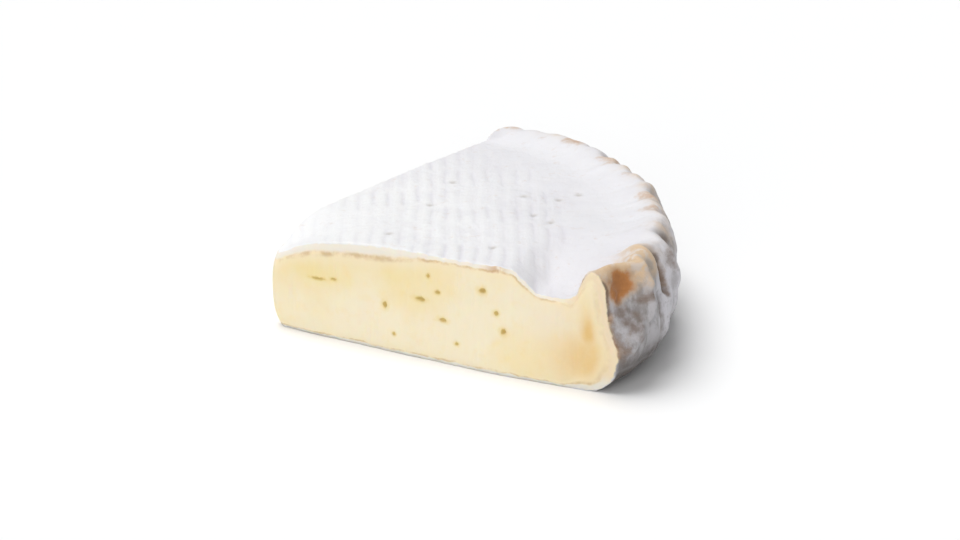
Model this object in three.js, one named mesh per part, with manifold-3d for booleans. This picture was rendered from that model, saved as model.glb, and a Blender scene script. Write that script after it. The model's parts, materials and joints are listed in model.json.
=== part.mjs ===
// A wedge of soft-ripened, bloomy-rind cheese, about a fifth of a low, round wheel, as cut.
//
// Frame: millimetres, +Z up. The wedge lies on its flat underside at z = 0, its point towards -X and the
// wheel's rim towards +X, with the plane halfway between the two cuts at y = 0. The origin is the middle
// of the wedge's footprint box.
//
// The cheese is one grown piece, so it is one solid. It is made the way the real one is: a whole wheel
// with its sagging top, raised lip and folded rim, cut by two straight cuts, with the small gas eyes that
// the cuts open. Shape functions below work in the wheel's own frame, whose Z axis is the wheel's axis.

import * as THREE from "three";
import { mergeVertices } from "three/addons/utils/BufferGeometryUtils.js";
import Module from "manifold-3d";

const wasm = await Module();
wasm.setup();

const DEGREE = Math.PI / 180;

// The wheel
const WHEEL_RADIUS = 122; // axis to the widest part of the rim
const WHEEL_HEIGHT = 32.5; // thickness of the level part of the top
const SHOULDER_WIDTH = 6; // rounding from the lip's crest out to the rim
const SHOULDER_DROP = 12; // rounding from the lip's crest down to the rim
const FOOT_WIDTH = 14; // rounding of the lower edge, inwards
const FOOT_RISE = 16; // rounding of the lower edge, upwards

// The raised lip round the top, and its scallops
const LIP_HEIGHT = 3.2;
const LIP_SPREAD = 8.5; // how fast the lip falls away towards the middle
const SCALLOP_PITCH = 8.8; // along the rim
const SCALLOP_HEIGHT = 0.3;
const SCALLOP_DEPTH = 0.4;
const SCALLOP_WANDER = 14; // length along the rim over which their pitch varies
const SCALLOP_SWELL = 9.5; // how fast the scallops grow and fade along the rim
const SCALLOP_INNER = 5; // how far in from the lip's crest they reach

// Broad folds down the rim
const FOLD_PITCH = 17;
const FOLD_DEPTH = 1;
const FOLD_LEAN = 0.45; // sideways run for each millimetre of height
const FOLD_START = 4; // along the rim, at the foot

// Deeper hollows under the lip: length along the rim, height, width, tallness and depth.
const RIM_HOLLOWS = [
  [-69.5, 30, 4.5, 4.5, 2.6],
  [-59, 29.5, 3.6, 5, 1.5],
  [-36.5, 31, 5, 5, 2],
  [-19, 24, 4, 7, 1.3],
  [-2, 29, 5, 4.5, 1.6],
  [15, 21, 4, 7, 1.4],
  [31, 29, 5, 4.5, 1.6],
  [48, 24, 4, 7, 1.3],
  [65, 28, 5, 4.5, 1.6],
];

// The cut
const WEDGE_ANGLE = 72 * DEGREE;
const POINT_RADIUS = 3.5; // plan rounding of the wedge's point
const CUT_BELLY = 0.8; // how far each cut stands out from a straight line in plan, at the top
const CUT_SLUMP = 2.2; // how much further its foot stands out
const CUT_SKEW = 1.5; // above 1, the cut stands out most nearer to the rim than to the point
const CUT_CLEARANCE = 10; // how far the cutting block reaches past the wheel

// Where the soft paste has moved since it was cut
const POINT_DROOP = 11; // fall of the top at the wheel's axis
const POINT_DROOP_REACH = 14;
const POINT_TUCK = 2.4; // how far the point's foot is drawn in
const POINT_TUCK_REACH = 9;
const POINT_MIDDLE = 12; // height at which the point stands out furthest
const CORNER_PULL = 11.5; // how far the lip is drawn in at each cut
const FOOT_PULL = 5; // how far the foot is drawn in at each cut
const WAIST_PULL = 2.6; // how much further the rim is drawn in between them
const WAIST_HEIGHT = 22;
const WAIST_SPREAD = 8; // upwards and downwards
const CORNER_PULL_REACH = 13; // along the rim
const RELIEF_WIDTH = 24; // how far in from the lip's crest the rim's relief fades out
const SAG_DEPTH = 6.3; // hollow in the top beside the first cut
const SAG_INNER = [79, 90]; // from the wheel's axis: where it starts, and where it is deepest
const SAG_OUTER = [109, 116]; // where it starts to rise to the lip, and where it ends
const SAG_WIDTH = 20; // away from the cut

// Facets of the wheel
const RIM_FACETS = 360;
const SHOULDER_FACETS = 8;
const TOP_RINGS = 14;
const CUT_FACETS = 12;
const CUT_STEPS = 16; // upwards

// Gas eyes that each cut opens: distance from the wheel's axis, height, width, tallness and depth.
const FIRST_CUT_EYES = [
  [18, 18.5, 5, 1.1, 0.8],
  [40.5, 14.5, 1.9, 2.1, 1.6],
  [43.5, 6, 1.2, 1, 0.8],
  [52, 18.5, 3.8, 1.4, 1.4],
  [54.5, 26, 1.2, 1.3, 1.1],
  [57.5, 21.5, 1.8, 1.2, 1.2],
  [59.5, 13.5, 2.8, 1.3, 1.2],
  [64, 7, 1.4, 1.1, 0.9],
  [71.5, 24.5, 2.3, 1.9, 1.6],
  [76, 18.5, 1.8, 1.5, 1.1],
  [78.5, 13.5, 2, 1.9, 1.6],
];
const SECOND_CUT_EYES = [
  [28, 17, 1.8, 1.4, 1.1],
  [41, 22, 3.2, 1.4, 1.3],
  [49, 11, 1.4, 1.4, 1.1],
  [60, 18, 2.1, 1.9, 1.6],
  [67, 24, 1.3, 1.3, 1],
  [78, 14, 3.4, 1.4, 1.3],
  [90, 21, 1.8, 1.8, 1.4],
];
const EYE_FACETS = 10;

const HALF_ANGLE = WEDGE_ANGLE / 2;
const LIP_RADIUS = WHEEL_RADIUS - SHOULDER_WIDTH; // the lip's crest
const POINT_END = POINT_RADIUS / Math.tan(HALF_ANGLE); // where the rounded point ends on each cut

/** A bell of height 1 at distance 0 that has all but vanished at twice its spread. */
const bell = (distance, spread) => Math.exp(-((distance / spread) ** 2));

/** Length along the rim from the plane y = 0 to the given angle. */
const alongRim = (angle) => angle * WHEEL_RADIUS;

/** Uneven wave of the scallops along the rim, from -1 to 1. */
function scallopAt(angle) {
  const along = alongRim(angle);
  const wave = Math.sin((2 * Math.PI * along) / SCALLOP_PITCH + Math.sin(along / SCALLOP_WANDER));
  return wave * (0.6 + 0.4 * Math.sin(along / SCALLOP_SWELL));
}

/** Height of the top at a distance and an angle about the wheel's axis. */
function topHeight(radius, angle) {
  const crest = THREE.MathUtils.smoothstep(radius, LIP_RADIUS - SCALLOP_INNER, LIP_RADIUS);
  const scallop = SCALLOP_HEIGHT * scallopAt(angle) * crest;
  const lip = LIP_HEIGHT * bell(radius - LIP_RADIUS, LIP_SPREAD) + scallop;
  const droop = POINT_DROOP * Math.exp(-radius / POINT_DROOP_REACH);
  const fromCut = radius * (angle + HALF_ANGLE);
  const inner = THREE.MathUtils.smoothstep(radius, ...SAG_INNER);
  const outer = 1 - THREE.MathUtils.smoothstep(radius, ...SAG_OUTER);
  const sag = SAG_DEPTH * inner * outer * bell(fromCut, SAG_WIDTH);
  return WHEEL_HEIGHT + lip - droop - sag;
}

/** How far the rim stands out from a true circle at an angle and a height. */
function rimRelief(angle, height) {
  const belly = Math.sin((Math.PI * height) / (WHEEL_HEIGHT + LIP_HEIGHT));
  const upright = alongRim(angle) - FOLD_LEAN * height - FOLD_START;
  const fold = Math.sin((2 * Math.PI * upright) / FOLD_PITCH);
  const hollow = RIM_HOLLOWS.reduce(
    (sum, [along, up, width, tallness, depth]) =>
      sum + depth * bell(alongRim(angle) - along, width) * bell(height - up, tallness),
    0,
  );
  const fromCut = alongRim(HALF_ANGLE - Math.abs(angle));
  const waist = WAIST_PULL * bell(height - WAIST_HEIGHT, WAIST_SPREAD);
  const pull = waist + THREE.MathUtils.mapLinear(height, 0, WHEEL_HEIGHT, FOOT_PULL, CORNER_PULL);
  const drawn = pull * Math.exp(-Math.max(fromCut, 0) / CORNER_PULL_REACH);
  const scallop = SCALLOP_DEPTH * scallopAt(angle) * (1 - belly);
  return scallop + FOLD_DEPTH * fold * belly - hollow - drawn;
}

/** Half section of the wheel from the middle of its underside, round the rim, to the middle of its top. */
function wheelSection() {
  const foot = new THREE.EllipseCurve(
    WHEEL_RADIUS - FOOT_WIDTH, FOOT_RISE, FOOT_WIDTH, FOOT_RISE, -Math.PI / 2, 0,
  );
  const shoulder = new THREE.EllipseCurve(
    LIP_RADIUS, WHEEL_HEIGHT - SHOULDER_DROP, SHOULDER_WIDTH, SHOULDER_DROP, 0, Math.PI / 2,
  );
  const top = [];
  for (let ring = 1; ring <= TOP_RINGS; ring++) {
    const share = 1 - ring / TOP_RINGS;
    top.push(new THREE.Vector2(LIP_RADIUS * Math.sin((share * Math.PI) / 2), WHEEL_HEIGHT));
  }
  return [
    new THREE.Vector2(0, 0),
    ...foot.getPoints(SHOULDER_FACETS),
    ...shoulder.getPoints(SHOULDER_FACETS),
    ...top,
  ];
}

/** The whole wheel, with its lip, folds, drooping middle and sag, about its own axis. */
function wheelGeometry() {
  const wheel = new THREE.LatheGeometry(wheelSection(), RIM_FACETS).rotateX(Math.PI / 2);
  const position = wheel.getAttribute("position");
  for (let i = 0; i < position.count; i++) {
    const x = position.getX(i);
    const y = position.getY(i);
    const radius = Math.hypot(x, y);
    const angle = Math.atan2(y, x);
    const height = (position.getZ(i) * topHeight(radius, angle)) / WHEEL_HEIGHT;
    const rimward = THREE.MathUtils.smoothstep(radius, LIP_RADIUS - RELIEF_WIDTH, LIP_RADIUS);
    const moved = radius + rimward * rimRelief(angle, height);
    position.setXYZ(i, moved * Math.cos(angle), moved * Math.sin(angle), height);
  }
  return wheel;
}

/** How far the slumped paste of a cut stands out, at a distance from the wheel's axis and a height. */
function cutBulge(distance, height) {
  const share = THREE.MathUtils.clamp((distance - POINT_END) / (WHEEL_RADIUS - POINT_END), 0, 1);
  const slump = CUT_BELLY + CUT_SLUMP * (1 - height / WHEEL_HEIGHT);
  return slump * Math.sin(Math.PI * share ** CUT_SKEW);
}

/** How far the wedge's point is drawn in at a distance from the wheel's axis and a height. */
function pointTuck(distance, height) {
  const share = Math.min(Math.abs(height / POINT_MIDDLE - 1), 1.5);
  return POINT_TUCK * share ** 3 * bell(distance, POINT_TUCK_REACH);
}

/** Outline of the block that stays when the two cuts are made: a sector with a rounded point. */
function cutPlan() {
  const reach = (WHEEL_RADIUS + CUT_CLEARANCE) / Math.cos(HALF_ANGLE);
  const arc = new THREE.EllipseCurve(
    POINT_RADIUS / Math.sin(HALF_ANGLE), 0, POINT_RADIUS, POINT_RADIUS, Math.PI, 1.5 * Math.PI - HALF_ANGLE,
  );
  const oneSide = arc.getPoints(CUT_FACETS / 2);
  for (let facet = 1; facet <= CUT_FACETS; facet++) {
    const distance = THREE.MathUtils.lerp(POINT_END, WHEEL_RADIUS, facet / CUT_FACETS);
    oneSide.push(new THREE.Vector2(distance, 0).rotateAround(new THREE.Vector2(), -HALF_ANGLE));
  }
  oneSide.push(new THREE.Vector2(reach, 0).rotateAround(new THREE.Vector2(), -HALF_ANGLE));
  const otherSide = oneSide.slice(1).reverse();
  return new THREE.Shape([...oneSide, ...otherSide.map(({ x, y }) => new THREE.Vector2(x, -y))]);
}

/** The block that stays when the two cuts are made, with its sides slumped outwards. */
function cutGeometry() {
  const depth = WHEEL_HEIGHT + LIP_HEIGHT + 2 * CUT_CLEARANCE;
  const block = new THREE.ExtrudeGeometry(cutPlan(), { depth, steps: CUT_STEPS, bevelEnabled: false });
  block.translate(0, 0, -CUT_CLEARANCE);
  const position = block.getAttribute("position");
  for (let i = 0; i < position.count; i++) {
    const x = position.getX(i);
    const y = position.getY(i);
    const bulge = cutBulge(Math.hypot(x, y), position.getZ(i));
    const tuck = pointTuck(Math.hypot(x, y), position.getZ(i));
    position.setX(i, x + tuck - bulge * Math.sin(HALF_ANGLE));
    position.setY(i, y + Math.sign(y) * bulge * Math.cos(HALF_ANGLE));
  }
  return block;
}

/** One gas eye as an ellipsoid centred on one of the cuts: the first at side -1, the second at 1. */
function eyeGeometry([distance, height, width, tallness, depth], side) {
  return new THREE.SphereGeometry(0.5, EYE_FACETS, EYE_FACETS / 2)
    .scale(width, 2 * depth, tallness)
    .translate(distance, side * cutBulge(distance, height), height)
    .rotateZ(side * HALF_ANGLE);
}

/** A closed geometry as a solid that can be cut. */
function solidOf(geometry) {
  const bare = geometry.clone();
  bare.deleteAttribute("normal");
  bare.deleteAttribute("uv");
  const merged = mergeVertices(bare, 1e-4);
  return new wasm.Manifold(
    new wasm.Mesh({
      numProp: 3,
      vertProperties: merged.getAttribute("position").array,
      triVerts: new Uint32Array(merged.index.array),
    }),
  );
}

/** A solid's surface as a geometry with flat facets. */
function geometryOf(solid) {
  const mesh = solid.getMesh();
  const geometry = new THREE.BufferGeometry();
  geometry.setAttribute("position", new THREE.BufferAttribute(mesh.vertProperties, mesh.numProp));
  geometry.setIndex(new THREE.BufferAttribute(mesh.triVerts, 1));
  geometry.computeVertexNormals();
  return geometry;
}

/** The wedge in the wheel's frame: the wheel, cut twice, less its opened eyes. */
function wedgeGeometry() {
  let wedge = solidOf(wheelGeometry()).intersect(solidOf(cutGeometry()));
  for (const eye of FIRST_CUT_EYES) wedge = wedge.subtract(solidOf(eyeGeometry(eye, -1)));
  for (const eye of SECOND_CUT_EYES) wedge = wedge.subtract(solidOf(eyeGeometry(eye, 1)));
  return geometryOf(wedge);
}

const cheese = new THREE.MeshStandardMaterial({ color: 0xf2ead6, roughness: 0.75, metalness: 0 });

const wedge = new THREE.Mesh(wedgeGeometry(), cheese);
wedge.name = "cheese_wedge";

// The wheel's axis is moved so that the middle of the wedge's footprint box is the origin.
wedge.geometry.computeBoundingBox();
const middle = wedge.geometry.boundingBox.getCenter(new THREE.Vector3());
wedge.position.set(-middle.x, -middle.y, -wedge.geometry.boundingBox.min.z);

const part = new THREE.Group();
part.add(wedge);

export default part;
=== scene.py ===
"""A wedge of soft-ripened, bloomy-rind cheese on a pale floor, in soft studio light.

The wedge is made as the real one is: a low wheel with rounded edges is turned, cut twice through its
axis, and left to slump. Its skin is then given the print of the straw mat that it ripened on, the raised
lip and the folds of its rim, the knife's drag on the cuts, and the gas eyes that the cuts open. Sizes are
in millimetres in the classes below, and become metres where they meet Blender.
"""

from __future__ import annotations

import itertools
import json
import logging
import math
from dataclasses import dataclass, field
from enum import Enum

import bmesh
import bpy
import numpy as np
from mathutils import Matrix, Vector

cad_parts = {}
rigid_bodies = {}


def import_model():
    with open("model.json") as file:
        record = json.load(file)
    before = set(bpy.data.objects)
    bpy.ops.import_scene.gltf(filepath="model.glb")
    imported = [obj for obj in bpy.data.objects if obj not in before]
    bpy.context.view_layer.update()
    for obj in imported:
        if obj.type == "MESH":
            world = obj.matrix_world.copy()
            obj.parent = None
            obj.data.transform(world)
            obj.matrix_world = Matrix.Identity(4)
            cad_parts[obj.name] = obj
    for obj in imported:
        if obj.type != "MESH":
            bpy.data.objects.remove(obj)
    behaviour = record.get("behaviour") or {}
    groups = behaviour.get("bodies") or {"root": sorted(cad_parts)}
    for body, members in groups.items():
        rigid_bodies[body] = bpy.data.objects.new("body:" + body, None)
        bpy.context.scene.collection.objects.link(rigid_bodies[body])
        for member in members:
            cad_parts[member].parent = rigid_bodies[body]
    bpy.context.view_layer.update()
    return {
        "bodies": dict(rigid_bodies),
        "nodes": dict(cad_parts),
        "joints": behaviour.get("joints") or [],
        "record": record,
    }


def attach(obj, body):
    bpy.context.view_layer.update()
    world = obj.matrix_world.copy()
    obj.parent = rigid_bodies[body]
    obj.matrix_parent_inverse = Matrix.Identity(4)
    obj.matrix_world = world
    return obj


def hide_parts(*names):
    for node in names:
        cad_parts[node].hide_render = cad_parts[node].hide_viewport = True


logging.basicConfig(level=logging.INFO, format="%(message)s")
log = logging.getLogger("cheese")

MM = 0.001
TOUCHING = 1e-3  # places nearer than this count as one
NODE = "cheese_wedge"
Array = np.ndarray
Piece = bpy.types.Object
Colour = tuple[float, float, float]
Span = tuple[float, float]  # the value at which something starts, and that at which it is full
Spot = tuple[float, float]  # spread and middle of a bell
ON_PLAN = np.array([1.0, 1.0, 0.0])


class Cut(Enum):
    """The two cuts that free the wedge, by the side of the wheel's middle plane that each is on."""

    FIRST = -1
    SECOND = 1


# ---- shape maths


def bell(value: Array, spread: float, middle: float = 0.0) -> Array:
    """Bell of height 1 at its middle that has all but vanished at twice its spread from there."""
    return np.exp(-(((value - middle) / spread) ** 2))


def ramp(value: Array, low: float, high: float) -> Array:
    """Smooth step from 0 at low to 1 at high; high may be the smaller of the two."""
    share = np.clip((value - low) / (high - low), 0.0, 1.0)
    return share * share * (3.0 - 2.0 * share)


def raised(value: Array, floor: float) -> Array:
    """Values of up to 1, squeezed so that 1 stays and 0 becomes the floor."""
    return floor + (1.0 - floor) * value


class Lattice:
    """Smooth noise made from fixed random slopes at the corners of a cubic lattice."""

    SEED = 11
    SIZE = 256
    GAIN = 1.5
    SEED_STEP = np.array([17.3, 5.1, 11.7])  # between the fields of two seeds

    def __init__(self) -> None:
        """Draws the slopes, the same each time."""
        dice = np.random.default_rng(self.SEED)
        self.order = dice.permutation(self.SIZE)
        slopes = dice.normal(size=(self.SIZE, 3))
        self.slopes = slopes / np.linalg.norm(slopes, axis=1, keepdims=True)

    def noise(self, points: Array) -> Array:
        """Noise of about -1 to 1, with lumps one unit apart.

        Args:
            points: places, one row each.

        Returns:
            One value for each point.
        """
        cell = np.floor(points).astype(int)
        share = points - cell
        fade = share**3 * (share * (share * 6.0 - 15.0) + 10.0)
        total = np.zeros(len(points))
        for corner in itertools.product((0, 1), repeat=3):
            at = (cell + corner) % self.SIZE
            pick = self.order[(self.order[at[:, 0]] + at[:, 1]) % self.SIZE]
            slope = self.slopes[self.order[(pick + at[:, 2]) % self.SIZE]]
            weight = np.where(corner, fade, 1.0 - fade).prod(axis=1)
            total += weight * ((share - corner) * slope).sum(axis=1)
        return self.GAIN * total


LATTICE = Lattice()


@dataclass(frozen=True)
class Lumps:
    """Fractal noise of about minus to plus a strength."""

    size: float  # of the largest lumps
    octaves: int  # how many times finer lumps are added
    seed: float  # picks another field of the same kind
    strength: float = 1.0

    def at(self, points: Array) -> Array:
        """Value of the noise.

        Args:
            points: places in millimetres, one row each.

        Returns:
            One value for each point.
        """
        places = points / self.size + Lattice.SEED_STEP * self.seed
        noise = (LATTICE.noise(places * 2.0**octave) / 2.0**octave for octave in range(self.octaves))
        return self.strength * sum(noise)


@dataclass(frozen=True)
class Patch:
    """A round patch of the rim or of a cut."""

    along: float  # place along the rim from the wedge's middle, or along a cut from the wheel's axis
    height: float
    width: float
    tallness: float
    strength: float  # depth of a hollow, or share of a colour

    def weight(self, along: Array, height: Array) -> Array:
        """How far inside the patch each place is, from 0 to 1."""
        return bell(along, self.width, self.along) * bell(height, self.tallness, self.height)


@dataclass(frozen=True)
class Streak:
    """A straight crease, ridge or stain of the rim."""

    start: tuple[float, float]  # place along the rim, and height
    end: tuple[float, float]
    width: float
    strength: float  # depth of a crease, less than 0 for a ridge, or share of a colour

    def weight(self, along: Array, height: Array) -> Array:
        """How far inside the streak each place is.

        Args:
            along: place along the rim.
            height: height above the board.

        Returns:
            Shares of 0 to 1.
        """
        run = (self.end[0] - self.start[0], self.end[1] - self.start[1])
        from_start = (along - self.start[0], height - self.start[1])
        share = (from_start[0] * run[0] + from_start[1] * run[1]) / (run[0] ** 2 + run[1] ** 2)
        share = np.clip(share, 0.0, 1.0)
        gap = np.hypot(from_start[0] - share * run[0], from_start[1] - share * run[1])
        return bell(gap, self.width)


def streaks(*rows: tuple[float, float, float, float, float, float]) -> tuple[Streak, ...]:
    """Streaks from rows of both ends' place and height, then width and strength."""
    return tuple(Streak(row[:2], row[2:4], *row[4:]) for row in rows)


def strongest(marks: tuple[Patch | Streak, ...], along: Array, height: Array) -> Array:
    """Value at each place of the mark that is strongest there."""
    return np.maximum.reduce([mark.strength * mark.weight(along, height) for mark in marks])


@dataclass(frozen=True)
class Zone:
    """A part of the wheel's section with soft edges."""

    distance: Span
    height: Span

    def at(self, distance: Array, height: Array) -> Array:
        """How far inside the zone each place is, from 0 to 1."""
        return ramp(distance, *self.distance) * ramp(height, *self.height)


@dataclass(frozen=True)
class Eye:
    """A gas eye that a cut opens."""

    distance: float  # from the wheel's axis
    height: float
    width: float
    tallness: float
    depth: float


@dataclass(frozen=True)
class WheelShape:
    """The whole wheel's sizes, and how its top and rim depart from a plain disc."""

    radius: float = 122.0
    height: float = 32.5
    shoulder_width: float = 6.0
    shoulder_drop: float = 12.0
    foot_width: float = 14.0
    foot_rise: float = 16.0
    lip_height: float = 3.2
    lip_spread: float = 8.5
    scallop_pitch: float = 8.8
    scallop_height: float = 0.3
    scallop_depth: float = 0.4
    scallop_wander: float = 14.0
    scallop_swell: float = 9.5
    scallop_least: float = 0.6
    scallop_inner: float = 5.0
    fold_pitch: float = 17.0
    fold_depth: float = 1.0
    fold_lean: float = 0.45
    fold_start: float = 4.0
    half_angle: float = math.radians(36.0)
    point_radius: float = 3.5
    point_droop: float = 11.0
    point_droop_reach: float = 14.0
    point_tuck: float = 2.4
    point_tuck_reach: float = 9.0
    point_tuck_most: float = 1.5
    point_middle: float = 12.0
    corner_pull: float = 11.5
    foot_pull: float = 5.0
    waist_pull: float = 2.6
    waist_height: float = 22.0
    waist_spread: float = 8.0
    corner_pull_reach: float = 13.0
    relief_width: float = 24.0
    sag_depth: float = 6.3
    sag_inner: Span = (79.0, 90.0)
    sag_outer: Span = (116.0, 109.0)
    sag_width: float = 20.0
    section_steps: int = 60
    edge_zone: float = 42.0  # how far in from the rim its rounding is felt
    hollows: tuple[Patch, ...] = (
        Patch(-69.5, 30.0, 4.5, 4.5, 2.6),
        Patch(-59.0, 29.5, 3.6, 5.0, 1.5),
        Patch(-36.5, 31.0, 5.0, 5.0, 2.0),
        Patch(-19.0, 24.0, 4.0, 7.0, 1.3),
        Patch(-2.0, 29.0, 5.0, 4.5, 1.6),
        Patch(15.0, 21.0, 4.0, 7.0, 1.4),
        Patch(31.0, 29.0, 5.0, 4.5, 1.6),
        Patch(48.0, 24.0, 4.0, 7.0, 1.3),
        Patch(65.0, 28.0, 5.0, 4.5, 1.6),
    )

    @property
    def lip_radius(self) -> float:
        """Distance from the axis to the crest of the lip."""
        return self.radius - self.shoulder_width

    @property
    def point_end(self) -> float:
        """Distance from the axis at which the rounded point ends on each cut."""
        return self.point_radius / math.tan(self.half_angle)

    @property
    def tip(self) -> float:
        """Distance from the axis to the rounded point's foremost place."""
        return self.point_radius / math.sin(self.half_angle) - self.point_radius

    def scallop(self, angle: Array) -> Array:
        """Uneven wave of the scallops along the rim.

        Args:
            angle: angle about the axis.

        Returns:
            Values of -1 to 1.
        """
        arc = angle * self.radius
        wave = np.sin(2.0 * math.pi * arc / self.scallop_pitch + np.sin(arc / self.scallop_wander))
        return wave * raised(np.sin(arc / self.scallop_swell), self.scallop_least)

    def top_height(self, distance: Array, angle: Array) -> Array:
        """Height of the top.

        Args:
            distance: distance from the axis.
            angle: angle about the axis.

        Returns:
            The height at each place.
        """
        crest = ramp(distance, self.lip_radius - self.scallop_inner, self.lip_radius)
        scallop = self.scallop_height * self.scallop(angle) * crest
        lip = self.lip_height * bell(distance, self.lip_spread, self.lip_radius) + scallop
        droop = self.point_droop * np.exp(-distance / self.point_droop_reach)
        from_cut = distance * (angle + self.half_angle)
        basin = ramp(distance, *self.sag_inner) * ramp(distance, *self.sag_outer)
        sag = self.sag_depth * basin * bell(from_cut, self.sag_width)
        return self.height + lip - droop - sag

    def rim_relief(self, angle: Array, height: Array) -> Array:
        """How far the rim stands out from a true circle.

        Args:
            angle: angle about the axis.
            height: height above the board.

        Returns:
            The relief at each place.
        """
        arc = angle * self.radius
        belly = np.sin(math.pi * np.clip(height / (self.height + self.lip_height), 0.0, 1.0))
        upright = arc - self.fold_lean * height - self.fold_start
        fold = np.sin(2.0 * math.pi * upright / self.fold_pitch)
        hollow = sum(each.strength * each.weight(arc, height) for each in self.hollows)
        from_cut = np.maximum((self.half_angle - np.abs(angle)) * self.radius, 0.0)
        waist = self.waist_pull * bell(height, self.waist_spread, self.waist_height)
        pull = waist + self.foot_pull + (self.corner_pull - self.foot_pull) * height / self.height
        drawn = pull * np.exp(-from_cut / self.corner_pull_reach)
        scallop = self.scallop_depth * self.scallop(angle) * (1.0 - belly)
        return scallop + self.fold_depth * fold * belly - hollow - drawn

    def point_shift(self, distance: Array, height: Array) -> Array:
        """How far the wedge's point is drawn in at each distance and height."""
        share = np.minimum(np.abs(height / self.point_middle - 1.0), self.point_tuck_most)
        return self.point_tuck * share**3 * bell(distance, self.point_tuck_reach)

    def section(self) -> Array:
        """Points along the rim's half section, from the underside round the rim to the top.

        Returns:
            Distance from the axis and height, one row for each point.
        """
        turn = np.linspace(0.0, math.pi / 2.0, self.section_steps)
        foot_in = self.foot_width * (1.0 - np.sin(turn))
        foot_up = self.foot_rise * (1.0 - np.cos(turn))
        shoulder_in = self.shoulder_width * (1.0 - np.cos(turn))
        shoulder_down = self.shoulder_drop * (1.0 - np.sin(turn))
        inward = np.concatenate([foot_in, shoulder_in])
        height = np.concatenate([foot_up, self.height - shoulder_down])
        return np.stack([self.radius - inward, height], axis=1)

    def depth_below_rind(self, distance: Array, height: Array) -> Array:
        """Distance from each place inside the plain wheel to its nearest outer surface.

        Args:
            distance: distance from the axis.
            height: height above the board.

        Returns:
            The depth at each place.
        """
        depth = np.minimum(height, self.height - height)
        near = distance > self.radius - self.edge_zone
        gaps = np.full(near.sum(), np.inf)
        for corner in self.section():
            gaps = np.minimum(gaps, np.hypot(distance[near] - corner[0], height[near] - corner[1]))
        depth[near] = np.minimum(depth[near], gaps)
        return np.maximum(depth, 0.0)


# ---- working in Blender


class Bench:
    """Short forms of the operators that the pieces are made with."""

    @staticmethod
    def clear_selection() -> None:
        """Deselects every object."""
        bpy.ops.object.select_all(action="DESELECT")

    @staticmethod
    def edit(piece: Piece) -> bmesh.types.BMesh:
        """Opens a piece in edit mode with nothing of it selected.

        Args:
            piece: the mesh object.

        Returns:
            The open mesh, in which to select by place.
        """
        bpy.context.view_layer.objects.active = piece
        bpy.ops.object.mode_set(mode="EDIT")
        bpy.ops.mesh.select_mode(type="VERT")
        bpy.ops.mesh.select_all(action="DESELECT")
        return bmesh.from_edit_mesh(piece.data)

    @staticmethod
    def select(piece: Piece, verts: list[bmesh.types.BMVert]) -> None:
        """Selects vertices of an open piece, and the edges and faces between them.

        Args:
            piece: the mesh object, in edit mode.
            verts: the vertices.
        """
        for vert in verts:
            vert.select = True
        open_mesh = bmesh.from_edit_mesh(piece.data)
        open_mesh.select_flush(True)
        bmesh.update_edit_mesh(piece.data)

    @staticmethod
    def close() -> None:
        """Leaves edit mode."""
        bpy.ops.object.mode_set(mode="OBJECT")

    @staticmethod
    def places(piece: Piece) -> Array:
        """Where the piece's vertices are.

        Args:
            piece: the mesh object.

        Returns:
            Places in millimetres, one row for each vertex.
        """
        flat = np.empty(len(piece.data.vertices) * 3)
        piece.data.vertices.foreach_get("co", flat)
        return flat.reshape(-1, 3) / MM

    @staticmethod
    def move(piece: Piece, places: Array) -> None:
        """Moves the piece's vertices to these places, in millimetres."""
        piece.data.vertices.foreach_set("co", (places * MM).ravel())
        piece.data.update()

    @staticmethod
    def mark(piece: Piece, **marks: Array) -> None:
        """Stores numbers that materials can read.

        Args:
            piece: the mesh object.
            **marks: one number for each vertex, by the name to store them under.
        """
        for name, values in marks.items():
            layer = piece.data.attributes.new(name, "FLOAT", "POINT")
            layer.data.foreach_set("value", values.astype(np.float32))


# ---- the cheese


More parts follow.
